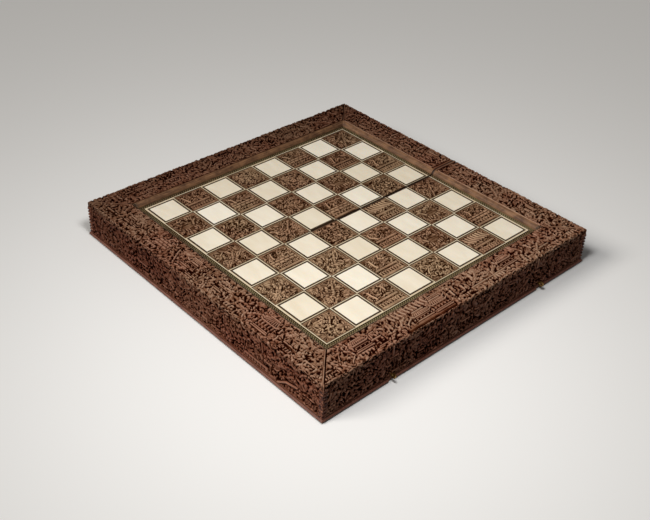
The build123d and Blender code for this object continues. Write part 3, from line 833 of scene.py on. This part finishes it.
def side_u(height):
    """The carving's u at a height on the side."""
    return crown_u(RAIL_WIDTH - ROUND) + ROUND * (pi / 2 - 1) + RAIL_TOP - height


# Places of a rail's main forms: from the seam, and from a long run's middle
FORMS = (30, 90, 150)
LONG_FORMS = (-150, -90, -30, *FORMS)


def carve_border(run, length, width, seed):
    """The carving of one run. Its u runs from the rail's inner edge down to the foot."""
    cut = Carving(width, length, BORDER_STEP, seed)
    draw, whole = cut.draw, run.endswith("outer")
    edge = crown_u(RAIL_WIDTH - 2)
    foliage(cut, 0, width, 0, length)
    carve_scene(cut, 3, edge - 1, 0, length)
    carve_scene(cut, side_u(RAIL_TOP - 7), side_u(MOULDING_TOP + 1), 0, length)
    holes(cut, 2.5, width - 2, 0, length)
    crown = crown_u(RAIL_WIDTH / 2 - 1.25)
    for number, step in enumerate(LONG_FORMS if whole else FORMS):
        at = (length / 2 if whole else -SEAM) + step
        if number % 2 == 0:
            pavilion(cut, crown + 6.5, at, 11, 19)
            if run != "right outer":
                # Leaves and cuts break the house up
                over = crown - 12, crown + 8, at - 13, at + 13
                for u, v in cut.scatter(*over, 9):
                    cut.leaf(u, v, cut.flow(u, v), 7, 2.8, -0.4)
                holes(cut, *over, 6.8, 0.85)
        else:
            du, dv = 15 * sin(radians(35)), 15 * cos(radians(35))
            bough(cut, (crown - du, at + dv), (crown + du, at - dv), 4)
            spray(cut, crown - du, at + dv, 2.4, 9, 6)
    for v in np.arange(3, length - 2, 5.4):
        cut.leaf(edge + draw(-1.5, 4), v + draw(-3, 3), draw(-1.4, 1.4), draw(5, 11), draw(2.2, 4),
                 draw(-0.8, -0.05))
    if run == "right outer":
        far = OUTER
        ribs(cut, crown_u(13), far - 97, far - 45, 9.5, 10, 2.4, 2.4)
        pavilion(cut, crown_u(33), far - 62, 13, 18)
        pavilion(cut, crown_u(32), far - 32, 12, 20)
        cut.slope(crown_u(RAIL_WIDTH - 7.4), crown_u(RAIL_WIDTH - 2.2), far - 93, far - 19, -1.1, -2.2)
        cut.stroke([(crown_u(28), far + 18), (crown_u(27), far + 78)], 1.8, 0)
        for v in (far - 122.5, far + 127.5):
            cut.block(side_u(RAIL_TOP - 4), side_u(34), v - 1.5, v + 1.5, -0.1, 1.2)
    elif run == "right front":
        pavilion(cut, crown_u(34), 112, 12, 27)
        for v in (136, 148, 160):
            spray(cut, crown_u(14), v, 0.8, 11, 6)
            cut.hollow(crown_u(20), v + 3, 0.7, 5, 1.2)
        holes(cut, crown_u(4), crown_u(26), 128, 172, 6.6, 0.85)
        arcade(cut, side_u(7.5), 95, 136)
        cut.stroke([(side_u(6), 152), (side_u(15), 166), (side_u(19), 184)], 3, 0, 1.2)
    elif run == "left front":
        bricks(cut, crown_u(14), crown_u(27), 74, 98, 3, 8)
    u, _ = cut.places()
    # The far rails begin with a plain edge, the near ones with the carving itself
    if run.endswith("back"):
        cut.high[u < 1.4] = -0.1
    elif run == "left outer":
        cut.high[u < 1.4] = -1.3
    cut.high[u > width - 0.8] = -0.9
    return cut


def border_run(tray, way, side, seed):
    """One carved side, cut along its mitres and the seam."""
    (out, up, nx, nz, s), carved = border_section()
    whole = way == "outer"
    start = -OUTER if whole else SEAM
    length = 2 * OUTER if whole else OUTER - SEAM
    carving = carve_border(f"{tray} {way}", length, s[carved - 1, 0], seed)
    limit = np.where(up > INLAY_Z - 0.01, out, np.minimum(out, POST_IN))
    y = np.clip(along_run(way, out, OUTER, BORDER_STEP), -limit, limit)
    depth = carving.sample(np.maximum(s, 0) + 0 * y, y - start)
    # Plain fillets along the mitres and the seam, with the joint itself cut in
    crown = up > INLAY_Z + 2
    mitre = np.where(crown, (out - np.abs(y)) * sqrt(0.5), OUTER)
    near = y - SEAM
    cuts = [(~crown & (POST_IN - np.abs(y) < 1), -0.5)]
    if whole:
        cuts += [(mitre < 1.1, -2.3)]
    else:
        cuts += [(mitre < 2.3, -1.6), (mitre < 1.6, -0.7), (mitre < 0.45, -2.3)]
    if way == "front":
        cuts += [(near < 0.5, -1)]
    elif way == "back":
        bevel = 3 if side < 0 else 3.6
        cuts += [(near < 5.2, -1.9), (near < bevel, -0.9 + 0.3 * side), (near < 0.4, -1.6)]
    for mask, cut in cuts:
        depth = np.where(mask, cut, depth)
    depth[carved:] = 0
    cavity = np.zeros_like(depth)
    cavity[:carved] = cavity_of(depth[:carved], BORDER_STEP)
    points = run_points(way, side, out + nx * depth, y, up + nz * depth)
    index = numbers(depth)
    quads = grid_quads(np.vstack([index, index[:1]]))
    if ((side > 0) == whole) != (way == "back"):
        quads = quads[:, ::-1]
    piece = build_mesh(f"{tray}_border_{way}", [(points, quads, relief_of(depth), cavity)], CARVED)
    close_ends(piece, *depth.shape)
    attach(piece, f"{tray}_half")
    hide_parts(f"{tray}_rail_{way}", f"{tray}_wall_{way}")


def close_ends(piece, rows, columns):
    """Caps both ends of a run and drops faces squeezed flat at the posts."""
    work = bmesh.new()
    work.from_mesh(piece.data)
    work.verts.ensure_lookup_table()
    for column in (0, columns - 1):
        ring = [work.verts[row * columns + column] for row in range(rows)]
        work.faces.new(ring if column == 0 else ring[::-1])
    bmesh.ops.dissolve_degenerate(work, dist=1e-6, edges=work.edges)
    bmesh.ops.recalc_face_normals(work, faces=work.faces)
    work.to_mesh(piece.data)
    work.free()
    # The uncarved inner faces have the plain wood of the carcass
    piece.data.materials.append(CARCASS)
    for face in piece.data.polygons:
        x, y, z = face.center / MM
        if z < INLAY_Z - 1 and max(abs(x), abs(y)) < OUTER - 3.2 or z < RIM_Z + 0.05:
            face.material_index = 1
            face.use_smooth = False


for number, (tray, sign) in enumerate(SIDES):
    for place, way in enumerate(RUNS):
        border_run(tray, way, sign, BORDER_SEED + 10 * number + place)


# Carved squares: a scene's foot lies towards +x. Places are shares of the side.

BOUGHS = {
    "trunk": (((0.95, 0.3), (0.12, 0.86), 3.6), ((0.7, 0.47), (0.3, 0.16), 2.6)),
    "tree": (((0.96, 0.5), (0.14, 0.56), 3.6), ((0.6, 0.52), (0.34, 0.14), 2.6)),
    "leaves": (((0.2, 0.2), (0.8, 0.8), 3.6), ((0.2, 0.8), (0.8, 0.2), 3.6)),
}

# One line for each column, from the front to the back
PANEL_SCENES = (
    "terrace leaves rampart trunk",
    "deer rampart leaves terrace",
    "knots tree deer terrace",
    "tree trunk rampart knots",
    "rampart knots stair trunk",
    "tree trunk terrace deer",
    "trunk terrace deer rampart",
    "leaves terrace knots stair",
)


def carve_square(column, row):
    """One panel's carving."""
    side, scene = PANEL_SIDE, PANEL_SCENES[column].split()[row // 2]
    cut = Carving(side, side, PANEL_STEP, PANEL_SEED + 16 * column + row)
    draw, middle = cut.draw, (3, side - 3)

    def mm(*shares):
        return [side * share for share in shares]

    foliage(cut, 0, side, 0, side, 6.4)
    holes(cut, 2, side - 2, 2, side - 2, 5, 0.92)
    for start, end, width in BOUGHS.get(scene, ()):
        bough(cut, mm(*start), mm(*end), width)
    for u, v in cut.scatter(*middle, *middle, 11):
        cut.leaf(u, v, cut.flow(u, v), draw(6, 9), draw(2.4, 3.4), draw(-0.6, 0))
    if scene == "terrace":
        tree(cut, *mm(0.52, 0.25, 0.42), 0.2)
        parapet(cut, side * 0.62, *middle)
        fence(cut, mm(0.74, 0.88), *middle, 4)
        parapet(cut, side * 0.92, *middle)
    elif scene == "rampart":
        tree(cut, *mm(0.4, 0.3, 0.34), 0)
        bricks(cut, *mm(0.46, 0.68), 2.5, side - 2.5, 2, 7.4)
        fence(cut, mm(0.74, 0.86), *middle, 5)
        parapet(cut, side * 0.90, *middle)
    elif scene == "stair":
        ribs(cut, side * 0.42, 4, side - 8, side * 0.32, 7, 6, 2.6)
        parapet(cut, side * 0.62, *middle)
        fence(cut, mm(0.76, 0.92), *middle, 4.4)
    elif scene == "trunk":
        spray(cut, *mm(0.2, 0.5), 3, 9, 6)
        spray(cut, *mm(0.72, 0.76), 0.8, 10, 6)
        bloom(cut, *mm(0.78, 0.2), 3.4, 6)
    elif scene == "deer":
        cut.block(*mm(0.32, 0.86, 0.18, 0.82), -1.2, 0.5)
        for u, v in cut.scatter(*mm(0.3, 0.88, 0.14, 0.86), 4.2):
            cut.leaf(u, v, draw(0, 3), draw(4, 7), 2.4, draw(-0.8, -0.1), 0.6)
        deer(cut, *mm(0.54, 0.48, 0.5), 1 if (column + row) % 4 == 1 else -1)
        spray(cut, *mm(0.62, 0.92), 1.4, 8, 6)
        spray(cut, *mm(0.5, 0.08), 4.6, 8, 5)
    elif scene == "tree":
        spray(cut, *mm(0.2, 0.5), pi, 9, 7)
        spray(cut, *mm(0.36, 0.84), 2.4, 9, 6)
        bloom(cut, *mm(0.76, 0.22), 4, 5)
    elif scene == "knots":
        for u, v in cut.scatter(5, side - 5, 5, side - 5, 9.4):
            cut.arc(u, v, 1.5, draw(0, 6), 4.8, 1.9, -0.6, 2.2)
            cut.hollow(u, v, draw(0, 3), 1.6, 1.1)
        holes(cut, *middle, *middle, 7.4, 0.9)
    elif scene == "leaves":
        for u, v, lean in ((0.2, 0.2, 0.8), (0.2, 0.8, 2.4), (0.8, 0.2, -0.8), (0.8, 0.8, 3.9)):
            spray(cut, *mm(u, v), lean, 11, 6)
        for u, v in ((0.25, 0.5), (0.5, 0.22), (0.5, 0.78), (0.76, 0.5), (0.5, 0.5)):
            u, v = mm(u, v)
            bloom(cut, u, v, 4.4, 5, draw(0, 2))
            cut.hollow(u - 5.5, v, 0.5, 2.4, 1.1)
            cut.hollow(u + 1, v + 5.5, 1.6, 2.2, 1)
        holes(cut, *middle, *middle, 6.6, 0.9)
    u, v = cut.places()
    across, along = np.minimum(u, side - u), np.minimum(v, side - v)
    rim = np.minimum(across, along)
    # The scene dies out into a plain margin, widest at the corners
    weight = np.clip(np.minimum(rim - 0.9, 0.6 * (across + along - 6.5)) / 1.3, 0, 1)
    cut.high = weight * np.maximum(cut.high, -2.25) - (1 - weight) * 0.9
    cut.high[rim < 0.8] = -0.6
    return cut


def carved_panels(side, sign):
    """All sixteen carved squares of one tray in one mesh."""
    patches = []
    for column in range(4, 8) if sign > 0 else (3, 2, 1, 0):
        for row in range((column + 1) % 2, 8, 2):
            cut = carve_square(column, row)
            high = cut.high
            u, v = cut.places()
            x, y = (column - 4) * PITCH + PANEL_MARGIN, (row - 4) * PITCH + PANEL_MARGIN
            grid = np.stack([x + u, y + v, FIELD_Z + high], -1).reshape(-1, 3)
            # A skirt down to the bed closes the panel's edges
            index = numbers(high)
            loop = np.concatenate([index[:-1, 0], index[-1, :-1], index[:0:-1, -1], index[0, :0:-1]])
            skirt = grid[loop]
            skirt[:, 2] = INLAY_Z
            foot = high.size + np.arange(len(loop))
            wall = np.stack([loop, foot, np.roll(foot, -1), np.roll(loop, -1)], -1)
            patches.append((
                np.concatenate([grid, skirt]), np.concatenate([grid_quads(index), wall]),
                np.append(relief_of(high), np.zeros(len(loop))),
                np.append(cavity_of(high, PANEL_STEP), np.full(len(loop), -1)),
            ))
    piece = build_mesh(f"{side}_carved_panels", patches, PANEL)
    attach(piece, f"{side}_half")
    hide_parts(f"{side}_carved_squares")


# Beaded strips inside the slip


def bead_height(along, across, width):
    """Two staggered rows of beads between cut lines and plain edges."""
    pitch, edge, cut = 3.2, 0.5, 0.5
    band = width - 2 * (edge + cut)
    inside = across - edge - cut
    rows = np.floor(inside / (band / 2))
    shift = (along / pitch + 0.5 * rows) % 1 - 0.5
    middle = (inside % (band / 2)) / (band / 2) - 0.5
    round_off = (shift / 0.5) ** 2 + (middle / 0.5) ** 2
    beads = np.where(round_off < 0.8, 0.1 - 0.8 * round_off, -1.4)
    plain = (across < edge) | (across > width - edge)
    return np.where(plain, -0.1, np.where((inside < 0) | (inside > band), -1.4, beads))


def beaded_strip(side, sign):
    """The three lengths of one tray's beaded strip, mitred at the corners."""
    patches = []
    width = BEAD_OUT - BEAD_IN
    across = np.linspace(0, width, int(width / BEAD_STEP) + 1)[:, None]
    out = BEAD_IN + across
    for way in RUNS:
        y = along_run(way, out, BEAD_OUT, BEAD_STEP)
        high = bead_height(y + 500, across + 0 * y, width) - 0.15
        grid = run_points(way, sign, out + 0 * y, y, FIELD_Z + high)
        quads = grid_quads(numbers(high))
        if (sign > 0) == (way == "back"):
            quads = quads[:, ::-1]
        patches.append((grid, quads, np.clip(1 + high / 1.3, 0, 1), cavity_of(high, BEAD_STEP) * 1.5))
    piece = build_mesh(f"{side}_beaded_strip", patches, BEADED)
    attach(piece, f"{side}_half")
    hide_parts(f"{side}_bead_strip")


# Bone lines round the plates, with the losses along the fold

LOST_LINES = {(3, 3): (1, 0), (4, 4): (-1, 0), (4, 6): (-1, 0)}


def bone_lines(side, sign):
    """Mitred strips round each plate, with the lost ones left out."""
    work = bmesh.new()
    outer = PITCH / 2 - LINE_OUT
    inner = outer - LINE_WIDTH
    outline = (inner, -inner), (outer, -outer), (outer, outer), (inner, inner)
    for column in range(4, 8) if sign > 0 else range(4):
        for row in range(column % 2, 8, 2):
            cx, cy = (column - 3.5) * PITCH, (row - 3.5) * PITCH
            for ax, ay in ((1, 0), (-1, 0), (0, 1), (0, -1)):
                if LOST_LINES.get((column, row)) != (ax, ay):
                    add_solid(work, [
                        [(cx + ax * r - ay * t, cy + ay * r + ax * t, z) for r, t in outline]
                        for z in (INLAY_Z, FIELD_Z)
                    ])
    piece = build_solids(f"{side}_bone_lines", work, LINE_BONE)
    break_edges(piece, 0.1)
    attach(piece, f"{side}_half")
    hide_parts(f"{side}_ivory_lines")


# Hinge screws


def hinge_screws(side, sign):
    """The slotted heads of one tray's hinge screws, a hair below the leaves."""
    work = bmesh.new()
    radius, slot, rim, apart = 1.7, 0.28, 0.3, 17
    spread = asin(slot / radius)
    for end in ("front", "back"):
        leaf = f"{end}_hinge_{side}_leaf"
        middle = (corner(leaf, 0)[1] + corner(leaf, 1)[1]) / 2
        for step in (-apart, apart):
            turn = 0.7 * step + (1.3 if end == "front" else 0.2)
            c, s = cos(turn), sin(turn)
            for half in (0, pi):
                angles = [spread + half + k * (pi - 2 * spread) / 14 for k in range(15)]
                rings = []
                for r, z in ((radius, RIM_Z + 0.3), (radius, RIM_Z), (radius - rim, RIM_Z - 0.11)):
                    edge = [(cos(a) * r, copysign(max(slot, abs(sin(a) * r)), sin(a))) for a in angles]
                    rings.append([(sign * 5.15 + x * c - y * s, middle + step + x * s + y * c, z)
                                  for x, y in edge])
                add_solid(work, rings)
    piece = build_solids(f"{side}_hinge_screws", work, BRASS)
    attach(piece, f"{side}_half")


for build in (carved_panels, beaded_strip, bone_lines, hinge_screws):
    for side, sign in SIDES:
        build(side, sign)


# Stage, lamps and camera


def stage():
    """A pale floor, seen lighter than it lights the object."""
    mesh = bpy.data.meshes.new("floor")
    corners = [(-20, -20, 0), (20, -20, 0), (20, 20, 0), (-20, 20, 0)]
    mesh.from_pydata(corners, [], [(0, 1, 2, 3)])
    n = Nodes("floor")
    rays = n.add("LightPath").outputs
    seen = n.value(rays["Is Camera Ray"], "at least", rays["Is Glossy Ray"],
                   "at least", rays["Is Transmission Ray"])
    n.finish(n.mix(seen, (0.13, 0.125, 0.12), (0.88, 0.87, 0.85)), 0.9)
    mesh.materials.append(n.material)
    floor = add_object("floor", mesh)


def bearing(azimuth, elevation):
    """The way out from the board at angles in degrees; azimuth 0 is the front."""
    a, e = radians(azimuth), radians(elevation)
    return Vector((sin(a) * cos(e), -cos(a) * cos(e), sin(e)))


def lamp(name, kind, azimuth, elevation, distance, **settings):
    """A soft lamp aimed at the board's middle."""
    data = bpy.data.lights.new(name, kind)
    for key, value in settings.items():
        setattr(data, key, value)
    thing = add_object(name, data)
    back = bearing(azimuth, elevation)
    thing.location = back * distance
    thing.rotation_mode = "QUATERNION"
    thing.rotation_quaternion = (-back).to_track_quat("-Z", "Y")


def lights():
    """A broad key from the front, a lamp over the near corner and a plain sky."""
    lamp("key", "SUN", -24, 38, 0, energy=1.65, angle=radians(24), color=(1, 0.97, 0.93))
    lamp("near_lamp", "AREA", 42, 64, 0.76, energy=3.25, size=0.18)
    world = bpy.data.worlds.new("studio")
    bpy.context.scene.world = world
    world.use_nodes = True
    nodes, links = world.node_tree.nodes, world.node_tree.links
    sky = nodes["Background"]
    sky.inputs["Color"].default_value = (1, 0.98, 0.96, 1)
    sky.inputs["Strength"].default_value = 0.1
    behind = nodes.new("ShaderNodeBackground")
    behind.inputs["Color"].default_value = (0.62, 0.61, 0.59, 1)
    choice = nodes.new("ShaderNodeMixShader")
    camera_rays = nodes.new("ShaderNodeLightPath").outputs["Is Camera Ray"]
    sources = camera_rays, sky.outputs["Background"], behind.outputs["Background"]
    for number, source in enumerate(sources):
        links.new(source, choice.inputs[number])
    links.new(choice.outputs["Shader"], nodes["World Output"].inputs["Surface"])


def camera():
    """The photograph's viewpoint."""
    distance, roll = 1172.4, radians(2.38)
    target = Vector((56.99, -70.33, FIELD_Z)) * MM
    focal, picture_width = 979.1, 650
    data = bpy.data.cameras.new("camera")
    data.sensor_width = 36
    data.lens = focal / picture_width * data.sensor_width
    data.clip_start = 0.05
    data.clip_end = 50
    thing = add_object("camera", data)
    back = bearing(46.40, 35.52)
    thing.location = target + back * distance * MM
    right = (-back).cross(Vector((0, 0, 1))).normalized()
    up = right.cross(-back)
    c, s = cos(roll), sin(roll)
    right, up = right * c + up * s, up * c - right * s
    thing.rotation_mode = "QUATERNION"
    thing.rotation_quaternion = Matrix((right, up, back)).transposed().to_quaternion()
    bpy.context.scene.camera = thing


stage()
lights()
camera()
bpy.context.scene.view_settings.view_transform = "Standard"
